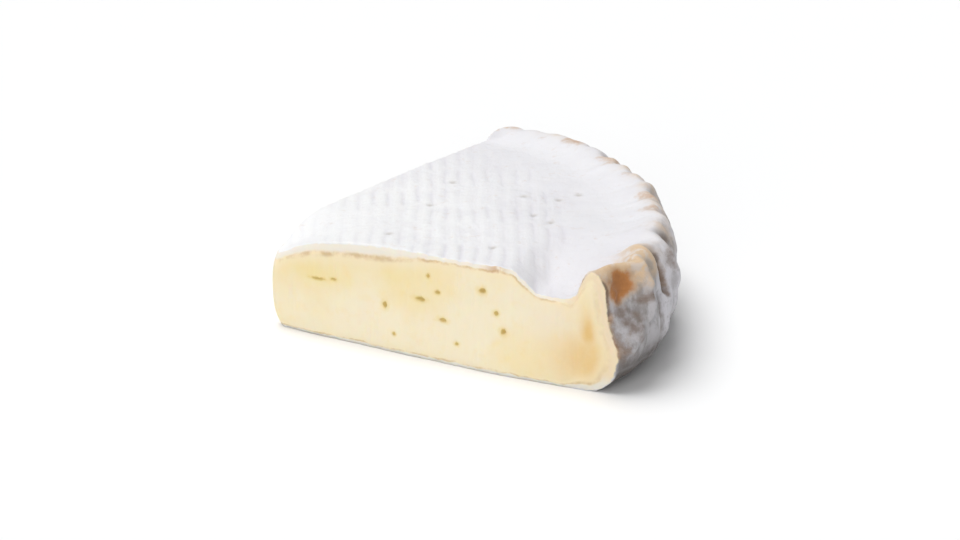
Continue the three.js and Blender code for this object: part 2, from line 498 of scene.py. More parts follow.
@dataclass(frozen=True)
class MatPrint:
    """Rows of long dimples that the straw mat leaves in the top."""

    turn: float = math.radians(11.0)  # of the straws, from the Y axis towards +X
    pitch: float = 4.3
    groove: float = 0.17  # half width of a dimple, as a share of the pitch
    row: float = 15.5  # length of a row of dimples
    dash: Span = (0.5, 0.276)  # where a dimple starts and is full, as shares of its row from the middle
    join: float = 0.35  # depth between two dimples of a row, as a share
    wobble: Lumps = Lumps(22.0, 2, 3.0)
    sway: float = 0.22  # how far the wobble bends the straws, in pitches
    drift: float = 0.16  # how far it moves the rows, in rows
    slip: float = 0.13  # how far straws lie out of line, in rows
    slip_beat: float = 2.4
    strength_beat: tuple[float, float, float] = (12.9898, 78.233, 1.7)
    least_strength: float = 0.5
    fibre: Spot = (0.2, 0.5)
    fibre_depth: float = 0.35
    fibre_loss: float = 0.4
    patches: Lumps = Lumps(30.0, 2, 9.0)
    patch: Span = (-0.5, 0.35)
    least_patch: float = 0.55
    depth: float = 0.38
    edge: Span = (94.0, 85.0)  # distances from the wheel's axis between which the print fades
    edge_wander: float = 7.0
    middle: Span = (25.0, 70.0)  # distances between which the print grows to full strength
    least_middle: float = 0.45

    def weight(self, places: Array, distance: Array) -> Array:
        """How deep the print is at each place of the top.

        Args:
            places: places from the wheel's axis, one row each.
            distance: their distance from the axis.

        Returns:
            Shares of 0 to 1.
        """
        x, y = places[:, 0], places[:, 1]
        flat = places * ON_PLAN
        wobble = self.wobble.at(flat)
        across = (x * math.cos(self.turn) - y * math.sin(self.turn)) / self.pitch + self.sway * wobble
        along = (x * math.sin(self.turn) + y * math.cos(self.turn)) / self.row + self.drift * wobble
        straw = np.floor(across)
        along = along + self.slip * np.sin(straw * self.slip_beat)
        row = np.floor(along)
        groove = bell(across - straw, self.groove, 0.5)
        dash = raised(ramp(np.abs(along - row - 0.5), *self.dash), self.join)
        straw_beat, row_beat, start = self.strength_beat
        strength = raised(np.sin(straw * straw_beat + row * row_beat + start), 0.5)
        fibre = self.fibre_depth * bell(across * 2.0 - np.floor(across * 2.0), *self.fibre)
        inside = ramp(distance + self.edge_wander * wobble, *self.edge)
        inside *= raised(ramp(distance, *self.middle), self.least_middle)
        dimple = groove * dash * raised(strength, self.least_strength)
        dimple = np.maximum(dimple, fibre * (1.0 - self.fibre_loss * strength))
        return dimple * raised(ramp(self.patches.at(flat), *self.patch), self.least_patch) * inside


@dataclass(frozen=True)
class RindEdge:
    """Thickness of the rind's edge that shows on a cut, from the wheel's axis to its rim."""

    top: float = 3.2
    top_thinning: float = 1.8
    top_thins: Span = (38.0, 60.0)
    top_thickening: float = 1.4
    top_thickens: Span = (96.0, 110.0)
    foot: float = 1.1
    foot_thickening: float = 1.5
    foot_thickens: Span = (96.0, 108.0)
    rise: Span = (8.0, 20.0)  # heights between which the foot's thickness becomes the top's

    def thickness(self, distance: Array, height: Array) -> Array:
        """Thickness of the edge.

        Args:
            distance: distance from the wheel's axis.
            height: height above the board.

        Returns:
            The thickness at each place.
        """
        top = self.top - self.top_thinning * ramp(distance, *self.top_thins)
        top = top + self.top_thickening * ramp(distance, *self.top_thickens)
        foot = self.foot + self.foot_thickening * ramp(distance, *self.foot_thickens)
        return foot + (top - foot) * ramp(height, *self.rise)


@dataclass
class CheeseWedge:
    """The wedge: a wheel turned, cut twice, slumped, and given its skin, cuts and eyes."""

    shape: WheelShape = WheelShape()
    mat: MatPrint = MatPrint()
    rind_edge: RindEdge = RindEdge()
    facets: int = 360
    rounding: int = 8
    grain: float = 0.56  # size of the finished mesh's squares

    # The skin's relief.
    skin_depth: float = 2.2
    top_zone: Zone = Zone((121.0, 108.0), (23.5, 32.5))
    base: float = 0.3  # height below which everything stays on the board
    fluff: Lumps = Lumps(1.5, 2, 5.0, 0.07)
    swell: Lumps = Lumps(34.0, 2, 1.0, 0.55)
    small_swell: Lumps = Lumps(9.0, 3, 2.0, 0.22)
    wave_start: Span = (107.0, 116.0)
    crumple: Lumps = Lumps(13.0, 3, 4.0, 0.9)
    small_crumple: Lumps = Lumps(4.0, 2, 6.0, 0.35)
    fold_wander: Lumps = Lumps(20.0, 2, 8.0, 0.02)
    deep_dent: float = 2.0  # depth from which a dent is fully in shade
    shaded_side: Span = (-52.0, -66.0)
    shaded_share: float = 0.55
    foot_hold: Span = (0.0, 6.0)

    # The rind's colours.
    outside: Span = (110.0, 116.0)
    sides: Span = (115.0, 120.0)
    # painted shade: the top's bloom is coloured darker from the point out towards the rim, between these
    # distances
    worn: Span = (45.0, 98.0)
    # painted shade: the bloom in the top's sunken basin by the first cut is coloured greyer
    basin: Span = (80.0, 92.0)
    basin_width: float = 30.0
    basin_shade_share: float = 0.45
    # painted shade: the rim's undercut foot is coloured dark, up from the board
    foot: Zone = Zone((100.0, 108.0), (16.0, 4.0))
    foot_shade_end: Span = (-77.5, -74.5)
    crest: Spot = (3.6, 118.0)
    crest_rise: Span = (24.0, 29.0)
    crest_tan: float = 0.1
    scallop_tan: float = 0.6
    tan_lumps: Lumps = Lumps(16.0, 2, 12.0)
    tan_patch: Span = (-0.3, 0.5)
    arch: Spot = (6.5, 115.0)
    arch_start: Span = (-47.0, -56.0)
    arch_rise: Span = (27.0, 31.0)
    arch_lumps: Lumps = Lumps(7.0, 3, 15.0)
    arch_patch: Span = (-0.5, 0.3)
    arch_tan: float = 0.7
    patch_tan: float = 0.5

    # The cuts' shape.
    cut_belly: float = 0.8
    cut_slump: float = 2.2
    cut_skew: float = 1.5
    cut_reach: float = 9.0  # how far behind a cut its slump fades out
    cut_apart: float = 50.0  # keeps the two cuts' noise apart
    face: Span = (1.4, 0.1)  # depths behind a cut between which the knife's marks grow to full
    knife_start: Span = (2.0, 9.0)
    drag: Lumps = Lumps(1.6, 2, 7.0, 0.10)
    drag_stretch: tuple[float, float, float] = (1.0, 0.1, 1.0)
    dips: Lumps = Lumps(17.0, 3, 10.0, 0.28)
    small_dips: Lumps = Lumps(4.5, 2, 11.0, 0.10)
    ragged: Lumps = Lumps(2.4, 2, 13.0, 0.16)
    rind_step: float = 0.28  # how far the rind's edge stands back from the paste on a cut
    rind_line: Span = (1.15, 0.85)  # depths in shares of the rind between which paste becomes rind

    # The cuts' colours.
    cut_skin: Span = (0.9, 0.2)  # depths behind a cut between which its colours grow to full
    point_skin: Span = (2.5, 0.5)  # the same, past the end of the rounded point
    ripe: tuple[Patch, ...] = (Patch(104.0, 9.0, 11.0, 8.0, 0.8), Patch(104.0, 18.0, 2.6, 5.5, 1.1))
    lemon: tuple[Patch, ...] = (Patch(17.0, 20.0, 12.0, 4.5, 0.6), Patch(45.0, 25.0, 16.0, 4.5, 0.5))
    pale: tuple[Patch, ...] = (Patch(94.0, 20.0, 9.0, 6.5, 0.8),)
    scorch: Spot = (3.0, 75.5)
    scorch_rise: Span = (20.0, 26.0)
    scorched_lip: Zone = Zone((108.0, 114.0), (25.0, 29.0))
    rim_end: Zone = Zone((90.0, 102.0), (2.0, 6.0))

    eye_zone: float = 1.7  # how far round an eye the mesh is made finer, where 1 is its rim
    eye_reach: float = 3.0  # how far round it anything changes, on the same scale
    eye_edge: Span = (1.25, 0.7)
    eye_halo: Span = (2.8, 1.0)
    eye_ragged: float = 0.28
    eye_lump: float = 1.3
    eye_behind: float = 1.6  # how far behind a cut its eyes act

    first_eyes: tuple[Eye, ...] = (
        Eye(18.0, 18.5, 4.0, 0.77, 0.3),
        Eye(23.5, 19.2, 1.76, 0.77, 0.24),
        Eye(40.5, 14.5, 1.52, 1.78, 0.66),
        Eye(43.5, 6.0, 0.96, 0.85, 0.3),
        Eye(52.0, 18.5, 3.04, 1.1, 0.6),
        Eye(54.5, 26.0, 0.96, 1.1, 0.42),
        Eye(57.5, 21.5, 1.44, 1.02, 0.48),
        Eye(59.5, 13.5, 2.24, 1.1, 0.54),
        Eye(64.0, 7.0, 1.12, 0.94, 0.36),
        Eye(71.5, 24.5, 1.84, 1.61, 0.66),
        Eye(76.0, 18.5, 1.44, 1.27, 0.48),
        Eye(78.5, 13.5, 1.6, 1.61, 0.66),
    )
    second_eyes: tuple[Eye, ...] = (
        Eye(28.0, 17.0, 1.44, 1.19, 0.48),
        Eye(41.0, 22.0, 2.56, 1.1, 0.54),
        Eye(49.0, 11.0, 1.12, 1.19, 0.48),
        Eye(60.0, 18.0, 1.68, 1.61, 0.66),
        Eye(67.0, 24.0, 1.04, 1.1, 0.42),
        Eye(78.0, 14.0, 2.72, 1.19, 0.54),
        Eye(90.0, 21.0, 1.44, 1.53, 0.6),
    )
    creases: tuple[Streak, ...] = streaks(
        (-50.8, 34.5, -53.5, 22.5, 1.1, 2.2),
        (-44.5, 33.5, -47.5, 15.0, 2.2, -1.6),
        (-62.8, 32.5, -66.5, 20.0, 1.5, -1.8),
        (-67.2, 23.5, -73.6, 12.0, 1.4, -1.6),
        (-63.2, 26.5, -64.6, 20.5, 1.0, 1.5),
        (-71.0, 26.0, -70.0, 20.0, 2.0, 1.5),
        (-72.5, 27.0, -64.5, 28.0, 1.2, -0.9),
        (-57.0, 22.0, -58.5, 9.0, 1.4, 0.9),
        (-31.0, 31.0, -36.0, 14.0, 1.5, 1.1),
        (-25.0, 33.0, -27.5, 17.0, 2.0, -1.0),
        (-11.0, 32.0, -14.0, 19.0, 1.3, 1.1),
        (4.0, 31.0, 1.5, 14.0, 1.6, -1.0),
        (8.5, 29.0, 7.0, 12.0, 1.2, 1.1),
        (24.0, 32.0, 21.0, 18.0, 1.4, 1.2),
        (38.0, 30.0, 37.0, 12.0, 1.6, -1.0),
        (42.0, 32.0, 40.5, 21.0, 1.1, 1.0),
        (57.0, 31.0, 54.0, 14.0, 1.3, 1.2),
        (72.0, 30.0, 69.0, 16.0, 1.5, -0.9),
    )
    stains: tuple[Streak, ...] = streaks(
        (-69.0, 32.0, -72.3, 29.0, 2.8, 1.15),
        (-70.5, 29.5, -72.5, 27.5, 2.2, 1.0),
        (-74.0, 32.4, -68.0, 32.4, 2.0, 0.55),
        (-76.4, 23.0, -76.6, 12.0, 1.5, 0.55),
        (-75.5, 33.0, -76.5, 27.0, 1.6, 0.5),
        (-52.2, 30.0, -53.2, 25.0, 1.1, 0.5),
        (-63.6, 25.0, -64.4, 21.5, 1.0, 0.4),
        (-17.5, 35.6, -21.0, 35.4, 1.5, 0.4),
        (-5.0, 35.6, -9.0, 35.5, 1.7, 0.4),
        (13.5, 35.6, 10.5, 35.6, 1.2, 0.3),
        (30.0, 35.8, 25.0, 35.7, 1.8, 0.42),
        (51.0, 35.9, 45.0, 35.8, 1.8, 0.45),
        (77.0, 35.2, 73.0, 35.6, 2.0, 0.38),
        (76.0, 32.0, 75.5, 15.0, 1.6, 0.45),
    )
    # grimy streaks of the rim, and painted shade along its creases and in its hollows
    grime: tuple[Streak, ...] = streaks(
        (-76.3, 32.5, -76.4, 24.0, 1.2, 0.85),
        (-62.0, 29.5, -64.5, 24.5, 1.2, 0.9),
        (-64.5, 27.0, -68.5, 26.0, 1.2, 0.6),
        (-72.5, 25.7, -70.0, 21.0, 2.0, 0.45),
        (-51.0, 33.0, -53.5, 22.5, 1.1, 0.75),
        (-36.0, 32.2, -40.5, 26.0, 2.6, 0.6),
        (-57.0, 22.0, -58.5, 12.0, 1.2, 0.4),
        (-75.6, 21.0, -74.8, 9.0, 1.7, 0.5),
        (-73.5, 24.5, -70.5, 16.0, 2.3, 0.55),
        (-43.5, 32.4, -47.5, 30.0, 2.6, 0.5),
    )
    swells: tuple[tuple[float, float, float], ...] = (
        (-72.0, 3.5, -0.7),
        (-57.0, 6.0, 0.8),
        (-41.0, 4.0, -0.5),
        (-24.0, 5.0, 0.6),
        (-8.0, 4.0, -0.5),
        (11.0, 5.5, 0.6),
        (29.0, 4.5, -0.5),
        (46.0, 5.0, 0.6),
        (63.0, 4.0, -0.4),
    )  # along the rim, width and rise of the lip's waves
    pits: tuple[tuple[float, float], ...] = (
        (90.3, 1.7),
        (97.2, 3.1),
        (80.7, 5.2),
        (80.3, -6.5),
        (84.9, -10.5),
        (52.0, 8.0),
        (66.0, 21.0),
        (38.0, -20.0),
        (70.0, -26.0),
    )
    pit_width: float = 1.0
    pit_depth: float = 0.45

    axis: Vector = field(default_factory=Vector)

    @property
    def eyes(self) -> tuple[tuple[Cut, tuple[Eye, ...]], ...]:
        """The eyes of each cut."""
        return (Cut.FIRST, self.first_eyes), (Cut.SECOND, self.second_eyes)

    def find_axis(self, node: Piece) -> None:
        """Finds the wheel's axis from the node that the wedge stands for, whose point is furthest in -X.

        Args:
            node: the plain solid of the frame.
        """
        places = Bench.places(node)
        foremost = places[:, 0].min()
        point = places[places[:, 0] < foremost + TOUCHING]
        self.axis = Vector((foremost - self.shape.tip, float(point[:, 1].mean()), 0.0))

    def turn_wheel(self) -> Piece:
        """Turns the plain wheel and rounds its shoulder and foot.

        Returns:
            The wheel, with its place in its mesh.
        """
        shape = self.shape
        bpy.ops.mesh.primitive_cylinder_add(
            vertices=self.facets,
            radius=shape.radius * MM,
            depth=shape.height * MM,
            location=(self.axis + Vector((0.0, 0.0, shape.height / 2.0))) * MM,
        )
        wheel = bpy.context.object
        wheel.name = NODE + "_skin"
        bpy.ops.object.transform_apply(location=True, rotation=True, scale=True)
        self.round_edge(wheel, shape.height, shape.shoulder_width, shape.shoulder_drop)
        self.round_edge(wheel, 0.0, shape.foot_width, shape.foot_rise)
        return wheel

    def round_edge(self, wheel: Piece, level: float, width: float, drop: float) -> None:
        """Rounds one edge of the wheel to a quarter ellipse.

        Args:
            wheel: the wheel.
            level: height of the flat that the edge bounds.
            width: how far the rounding reaches in from the edge.
            drop: how far it reaches along the rim.
        """
        open_mesh = Bench.edit(wheel)
        Bench.select(wheel, [v for v in open_mesh.verts if abs(v.co.z / MM - level) < TOUCHING])
        bpy.ops.mesh.bevel(offset=width * MM, segments=self.rounding, profile=0.5)
        open_mesh = bmesh.from_edit_mesh(wheel.data)
        for vert in open_mesh.verts:
            vert.select = abs(vert.co.z / MM - level) < width + TOUCHING
        open_mesh.select_flush(True)
        bmesh.update_edit_mesh(wheel.data)
        bpy.ops.transform.resize(
            value=(1.0, 1.0, drop / width), center_override=(0.0, 0.0, level * MM)
        )
        Bench.close()

    def outward(self, cut: Cut) -> Vector:
        """Direction square to a cut, out of the wedge."""
        half = self.shape.half_angle
        return Vector((-math.sin(half), cut.value * math.cos(half), 0.0))

    def cut_wedge(self, wheel: Piece) -> None:
        """Cuts the wheel twice through its axis and rounds the wedge's point.

        Args:
            wheel: the plain wheel, which becomes the plain wedge.
        """
        for cut in Cut:
            Bench.edit(wheel)
            bpy.ops.mesh.select_all(action="SELECT")
            bpy.ops.mesh.bisect(
                plane_co=self.axis * MM, plane_no=self.outward(cut), use_fill=True, clear_outer=True
            )
            Bench.close()
        open_mesh = Bench.edit(wheel)
        on_axis = [v for v in open_mesh.verts if (v.co.xy / MM - self.axis.xy).length < TOUCHING]
        Bench.select(wheel, on_axis)
        bpy.ops.mesh.bevel(offset=self.shape.point_end * MM, segments=self.rounding, profile=0.5)
        Bench.close()

    def refine(self, wheel: Piece) -> None:
        """Remakes the wedge in small even squares, so that it can be shaped like clay.

        Args:
            wheel: the plain wedge.
        """
        bpy.context.view_layer.objects.active = wheel
        clay = wheel.modifiers.new("clay", "REMESH")
        clay.mode = "VOXEL"
        clay.voxel_size = self.grain * MM
        bpy.ops.object.modifier_apply(modifier=clay.name)

    def polar(self, places: Array) -> tuple[Array, Array]:
        """Distance from the wheel's axis, and angle about it, of each place."""
        x, y = places[:, 0] - self.axis.x, places[:, 1] - self.axis.y
        return np.hypot(x, y), np.arctan2(y, x)

    def inside_cut(self, places: Array, cut: Cut) -> Array:
        """How far behind a cut's plane each place is."""
        normal = self.outward(cut)
        return -((places[:, 0] - self.axis.x) * normal.x + (places[:, 1] - self.axis.y) * normal.y)

    def pit_share(self, distance: Array, angle: Array) -> Array:
        """How far inside a pit of the top each place is.

        Args:
            distance: distance from the wheel's axis.
            angle: angle about it.

        Returns:
            Shares of 0 to 1.
        """
        share = np.zeros(len(distance))
        for pit_distance, pit_angle in self.pits:
            turn = math.radians(pit_angle)
            x = distance * np.cos(angle) - pit_distance * math.cos(turn)
            y = distance * np.sin(angle) - pit_distance * math.sin(turn)
            share = np.maximum(share, bell(np.hypot(x, y), self.pit_width))
        return share

    def mould(self, wedge: Piece) -> None:
        """Gives the plain wedge its droop, lip, folds, mat print and pits, and marks its skin.

        Args:
            wedge: the refined wedge, which is moved and marked in place.
        """
        shape = self.shape
        places = Bench.places(wedge)
        distance, angle = self.polar(places)
        height = places[:, 2].copy()
        arc = angle * shape.radius
        depth = shape.depth_below_rind(distance, height)
        topward = self.top_zone.at(distance, height)
        flat = places * ON_PLAN
        print_depth = self.mat.weight(flat - np.array([*self.axis.xy, 0.0]), distance)
        pits = self.pit_share(distance, angle)
        fluff = self.fluff.at(places)
        waves = sum(rise * bell(arc, width, along) for along, width, rise in self.swells)
        relief = self.swell.at(flat) + self.small_swell.at(flat) - self.mat.depth * print_depth
        relief += fluff - self.pit_depth * pits + waves * ramp(distance, *self.wave_start)
        moulded = height * shape.top_height(distance, angle) / shape.height + topward * relief

        around = np.stack([arc, height, np.zeros(len(places))], axis=1)
        rim = shape.rim_relief(angle + self.fold_wander.at(around), height)
        # Painted shade: the rim's dents and creases, and its side by the first cut, are marked to be
        # coloured darker.
        hollow = self.shaded_share * ramp(arc, *self.shaded_side)
        for dent in (*shape.hollows, *self.creases):
            shade = min(dent.strength, self.deep_dent) / self.deep_dent
            hollow = np.maximum(hollow, shade * dent.weight(arc, height))
        for crease in self.creases:
            rim -= crease.strength * crease.weight(arc, height)
        crumple = self.crumple.at(around) + self.small_crumple.at(around) + fluff
        rim += ramp(height, *self.foot_hold) * crumple
        rimward = ramp(distance, shape.lip_radius - shape.relief_width, shape.lip_radius)
        new_distance = distance + rimward * rim

        places[:, 0] = self.axis.x + new_distance * np.cos(angle)
        places[:, 1] = self.axis.y + new_distance * np.sin(angle)
        places[:, 2] = np.where(height < self.base, 0.0, moulded)
        Bench.move(wedge, places)
        # Painted shade: the sunken basin by the first cut is marked to be coloured greyer, together with
        # the mat's dimples, where the bloom is really thinner.
        basin = ramp(distance, *self.basin)
        basin *= bell(distance * (angle + shape.half_angle), self.basin_width)
        thin = (print_depth + self.basin_shade_share * basin) * topward * ramp(depth, self.skin_depth, 0.0)
        Bench.mark(wedge, depth=depth, thin=thin, pit=pits * topward, hollow=hollow * rimward)
        self.colour_rind(wedge, distance, angle, around)

    def colour_rind(self, wedge: Piece, distance: Array, angle: Array, around: Array) -> None:
        """Marks where the rind is tan, stained and grimy, where painted shade lies along the rim's
        creases and in its hollows, where painted shade darkens the top towards the rim, and where painted
        shade darkens the rim's foot.

        Args:
            wedge: the moulded wedge.
            distance: distance of each vertex from the wheel's axis before moulding.
            angle: its angle about the axis.
            around: its place along the rim and height before moulding.
        """
        shape = self.shape
        height = Bench.places(wedge)[:, 2]
        arc = angle * shape.radius
        patch = ramp(self.tan_lumps.at(around), *self.tan_patch)
        scallop = raised(shape.scallop(angle), 0.5)
        tan = bell(distance, *self.crest) * ramp(height, *self.crest_rise)
        tan *= self.crest_tan + self.scallop_tan * scallop * patch
        arch = bell(distance, *self.arch) * ramp(arc, *self.arch_start) * ramp(height, *self.arch_rise)
        uneven = self.arch_tan + self.patch_tan * ramp(self.arch_lumps.at(around), *self.arch_patch)
        outside = ramp(distance, *self.outside)
        # Painted shade: the rim's foot is marked to be coloured dark.
        foot = self.foot.at(distance, height) * ramp(arc, *self.foot_shade_end)
        Bench.mark(
            wedge,
            thickness=self.rind_edge.thickness(distance, height),
            brown=strongest(self.stains, arc, height) * outside,
            grime=strongest(self.grime, arc, height) * outside,
            tan=np.maximum(tan, uneven * arch),
            worn=ramp(distance, *self.worn),
            foot=foot,
            rim=np.maximum(ramp(distance, *self.sides), foot),
        )

    def slump(self, wedge: Piece) -> None:
        """Pushes the cuts out where the paste has sunk, drags the knife down them, and marks them.

        Args:
            wedge: the moulded wedge, which is moved and marked in place.
        """
        shape = self.shape
        places = Bench.places(wedge)
        distance = self.polar(places)[0]
        height = places[:, 2]
        rind_depth = self.read(wedge, "depth") / self.read(wedge, "thickness")
        share = np.clip((distance - shape.point_end) / (shape.radius - shape.point_end), 0.0, 1.0)
        sunk = self.cut_belly + self.cut_slump * (1.0 - height / shape.height)
        on_cut = ramp(distance - shape.point_end, *self.point_skin)
        for cut in Cut:
            inside = self.inside_cut(places, cut)
            normal = self.outward(cut)
            push = sunk * np.sin(math.pi * share**self.cut_skew) * ramp(inside, self.cut_reach, 0.0)
            near = inside < self.face[0]
            apart = np.full(near.sum(), self.cut_apart * cut.value)
            board = np.stack([distance[near], height[near], apart], axis=1)
            marks = self.knife_marks(board, ramp(rind_depth[near], *self.rind_line))
            marks *= ramp(distance[near], *self.knife_start)
            push[near] += marks * ramp(inside[near], *self.face)
            on_cut = np.maximum(on_cut, ramp(inside, *self.cut_skin))
            places[:, 0] += push * normal.x
            places[:, 1] += push * normal.y
        places[:, 0] += shape.point_shift(distance, height)
        Bench.move(wedge, places)
        scorch = bell(distance, *self.scorch) * ramp(height, *self.scorch_rise)
        Bench.mark(
            wedge,
            cut=on_cut,
            ripe=strongest(self.ripe, distance, height),
            lemon=strongest(self.lemon, distance, height),
            pale=strongest(self.pale, distance, height),
            scorch=np.maximum(scorch, self.scorched_lip.at(distance, height)),
            rim_end=self.rim_end.at(distance, height),
        )

    def knife_marks(self, board: Array, rind: Array) -> Array:
        """How far the paste stands out where the knife dragged it.

        Args:
            board: places on the cut: distance from the axis, height, and a number for the cut.
            rind: share of rind at each place.

        Returns:
            The height of the marks at each place.
        """
        drag = self.drag.at(board * np.array(self.drag_stretch))
        dips = self.dips.at(board) + self.small_dips.at(board)
        return dips + drag * (1.0 - rind) + (self.ragged.at(board) - self.rind_step) * rind

    @staticmethod
    def read(piece: Piece, name: str) -> Array:
        """Numbers that were stored on the piece under a name.

        Args:
            piece: the mesh object.
            name: the name that they were stored under.

        Returns:
            One number for each vertex.
        """
        values = np.empty(len(piece.data.vertices), np.float32)
        piece.data.attributes[name].data.foreach_get("value", values)
        return values.astype(float)

    def open_eyes(self, wedge: Piece) -> None:
        """Opens the gas eyes in both cuts, in a mesh made finer round each.

        Args:
            wedge: the slumped wedge, which is moved and marked in place.
        """
        bpy.context.view_layer.objects.active = wedge
        for cut, eyes in self.eyes:
            open_mesh = Bench.edit(wedge)
            places = np.array([v.co for v in open_mesh.verts]) / MM
            near = np.zeros(len(places), bool)
            for eye in eyes:
                near |= self.eye_gap(places, cut, eye) < self.eye_zone
            Bench.select(wedge, [v for v, chosen in zip(open_mesh.verts, near) if chosen])
            bpy.ops.mesh.subdivide(number_cuts=1)
            Bench.close()
        places = Bench.places(wedge)
        opened, halo = np.zeros(len(places)), np.zeros(len(places))
        for cut, eyes in self.eyes:
            normal = self.outward(cut)
            for eye in eyes:
                gap = self.eye_gap(places, cut, eye)
                near = gap < self.eye_reach
                ragged = Lumps(self.eye_lump, 2, eye.distance, self.eye_ragged)
                gap = gap[near] * (1.0 + ragged.at(places[near]))
                bowl = eye.depth * np.sqrt(np.clip(1.0 - gap**2, 0.0, 1.0))
                opened[near] = np.maximum(opened[near], ramp(gap, *self.eye_edge))
                halo[near] = np.maximum(halo[near], ramp(gap, *self.eye_halo))
                places[near, 0] -= bowl * normal.x
                places[near, 1] -= bowl * normal.y
        Bench.move(wedge, places)
        Bench.mark(wedge, eye=opened, halo=halo)

    def eye_gap(self, places: Array, cut: Cut, eye: Eye) -> Array:
        """Distance of each place from an eye's middle.

        Args:
            places: places in millimetres, one row each.
            cut: the cut that opens the eye.
            eye: the eye.

        Returns:
            The distances, where 1 is the eye's rim and all places off the cut are infinitely far.
        """
        normal = self.outward(cut)
        along = (places[:, 0] - self.axis.x) * normal.y - (places[:, 1] - self.axis.y) * normal.x
        across = (cut.value * along - eye.distance) / (eye.width / 2.0)
        up = (places[:, 2] - eye.height) / (eye.tallness / 2.0)
        off_cut = self.inside_cut(places, cut) > self.eye_behind
        return np.where(off_cut, math.inf, np.hypot(across, up))

    def flatten_base(self, wedge: Piece) -> None:
        """Swaps the many squares of the flat underside, which needs none, for one face.

        Args:
            wedge: the finished wedge.
        """
        open_mesh = Bench.edit(wedge)
        bpy.ops.mesh.select_mode(type="FACE")
        for face in open_mesh.faces:
            face.select = all(vert.co.z / MM < TOUCHING for vert in face.verts)
        bmesh.update_edit_mesh(wedge.data)
        bpy.ops.mesh.delete(type="FACE")
        bpy.ops.mesh.select_mode(type="EDGE")
        bpy.ops.mesh.select_non_manifold()
        bpy.ops.mesh.edge_face_add()
        bpy.ops.mesh.quads_convert_to_tris()
        Bench.close()

    def build(self, frame: dict) -> Piece:
        """Makes the whole wedge.


        Returns:
            The finished piece, which stands for the frame's plain solid.
        """
        Bench.clear_selection()
        self.find_axis(frame["nodes"][NODE])
        wedge = self.turn_wheel()
        self.cut_wedge(wedge)
        self.refine(wedge)
        self.mould(wedge)
        self.slump(wedge)
        self.open_eyes(wedge)
        self.flatten_base(wedge)
        bpy.ops.object.shade_smooth()
        wedge.data.materials.clear()
        wedge.data.materials.append(CheeseFinish().material())
        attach(wedge, "root")
        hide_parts(NODE)
        return wedge


# ---- the finishes


class Signal:
    """A shader socket that can be used in sums: each operator adds the Math node it stands for."""

    def __init__(self, graph: Graph, socket: bpy.types.NodeSocket) -> None:
        """Wraps a socket of a graph."""
        self.graph = graph
        self.socket = socket

    def math(self, operation: str, *values: Signal | float) -> Signal:
        """The result of a Math node on these values."""
        return self.graph.node("ShaderNodeMath", {"operation": operation}, dict(enumerate(values)))

    def __add__(self, other: Signal | float) -> Signal:
        """Sum."""
        return self.math("ADD", self, other)

    __radd__ = __add__

    def __sub__(self, other: Signal | float) -> Signal:
        """Difference."""
        return self.math("SUBTRACT", self, other)

    def __rsub__(self, other: float) -> Signal:
        """Difference from a number."""
        return self.math("SUBTRACT", other, self)

    def __mul__(self, other: Signal | float) -> Signal:
        """Product."""
        return self.math("MULTIPLY", self, other)

    __rmul__ = __mul__

    def __truediv__(self, other: Signal | float) -> Signal:
        """Quotient."""
        return self.math("DIVIDE", self, other)

    def between(self, low: float, high: float) -> Signal:
        """Smooth step.

        Args:
            low: the value at which the step is 0.
            high: the value at which it is 1, which may be the smaller of the two.

        Returns:
            The share of 0 to 1.
        """
        settings = {"interpolation_type": "SMOOTHSTEP"}
        ends = (low, high, 0.0, 1.0) if low < high else (high, low, 1.0, 0.0)
        names = ("From Min", "From Max", "To Min", "To Max")
        return self.graph.node(
            "ShaderNodeMapRange", settings, {"Value": self, **dict(zip(names, ends))}
        )


class Graph:
    """The node tree of one material."""

    MIX_AMOUNT, MIX_START, MIX_END, MIX_RESULT = 0, 6, 7, 2  # a Mix node's sockets for colours

    def __init__(self, name: str) -> None:
        """Starts a material that knows its place on the piece.

        Args:
            name: the material's name.
        """
        self.material = bpy.data.materials.new(name)
        self.material.use_nodes = True
        self.tree = self.material.node_tree
        self.tree.nodes.clear()
        self.place = self.node("ShaderNodeTexCoord", {}, {}, "Object")

    def node(
        self,
        kind: str,
        settings: dict[str, object],
        inputs: dict[str | int, object],
        output: str | int = 0,
    ) -> Signal:
        """Adds a node.

        Args:
            kind: the node's type.
            settings: its properties, set first.
            inputs: value or link of each socket, by name or number.
            output: the socket to return.

        Returns:
            The chosen output.
        """
        node = self.tree.nodes.new(kind)
        for name, value in settings.items():
            setattr(node, name, value)
        for name, value in inputs.items():
            if isinstance(value, Signal):
                self.tree.links.new(value.socket, node.inputs[name])
            else:
                node.inputs[name].default_value = value
        return Signal(self, node.outputs[output])

    def attribute(self, name: str) -> Signal:
        """Number that the piece stores for each vertex."""
        return self.node("ShaderNodeAttribute", {"attribute_name": name}, {}, "Fac")

    def blend(self, amount: Signal | float, start: Signal | Colour, end: Signal | Colour) -> Signal:
        """Colour between two colours.

        Args:
            amount: share of the end colour, from 0 to 1.
            start: the colour where the amount is 0.
            end: the colour where it is 1.

        Returns:
            The blended colour.
        """
        inputs: dict[str | int, object] = {self.MIX_AMOUNT: amount}
        for socket, colour in ((self.MIX_START, start), (self.MIX_END, end)):
            inputs[socket] = (*colour, 1.0) if isinstance(colour, tuple) else colour
        return self.node("ShaderNodeMix", {"data_type": "RGBA"}, inputs, self.MIX_RESULT)

    def bump(self, height: Signal, distance: float) -> Signal:
        """Normal raised by a height of 0 to 1, by at most a distance in millimetres."""
        return self.node("ShaderNodeBump", {}, {"Height": height, "Distance": distance * MM})

    def finish(self, shader: Signal) -> bpy.types.Material:
        """Ends the material.

        Args:
            shader: the shader of its surface.

        Returns:
            The finished material.
        """
        output = self.tree.nodes.new("ShaderNodeOutputMaterial")
        self.tree.links.new(shader.socket, output.inputs["Surface"])
        return self.material


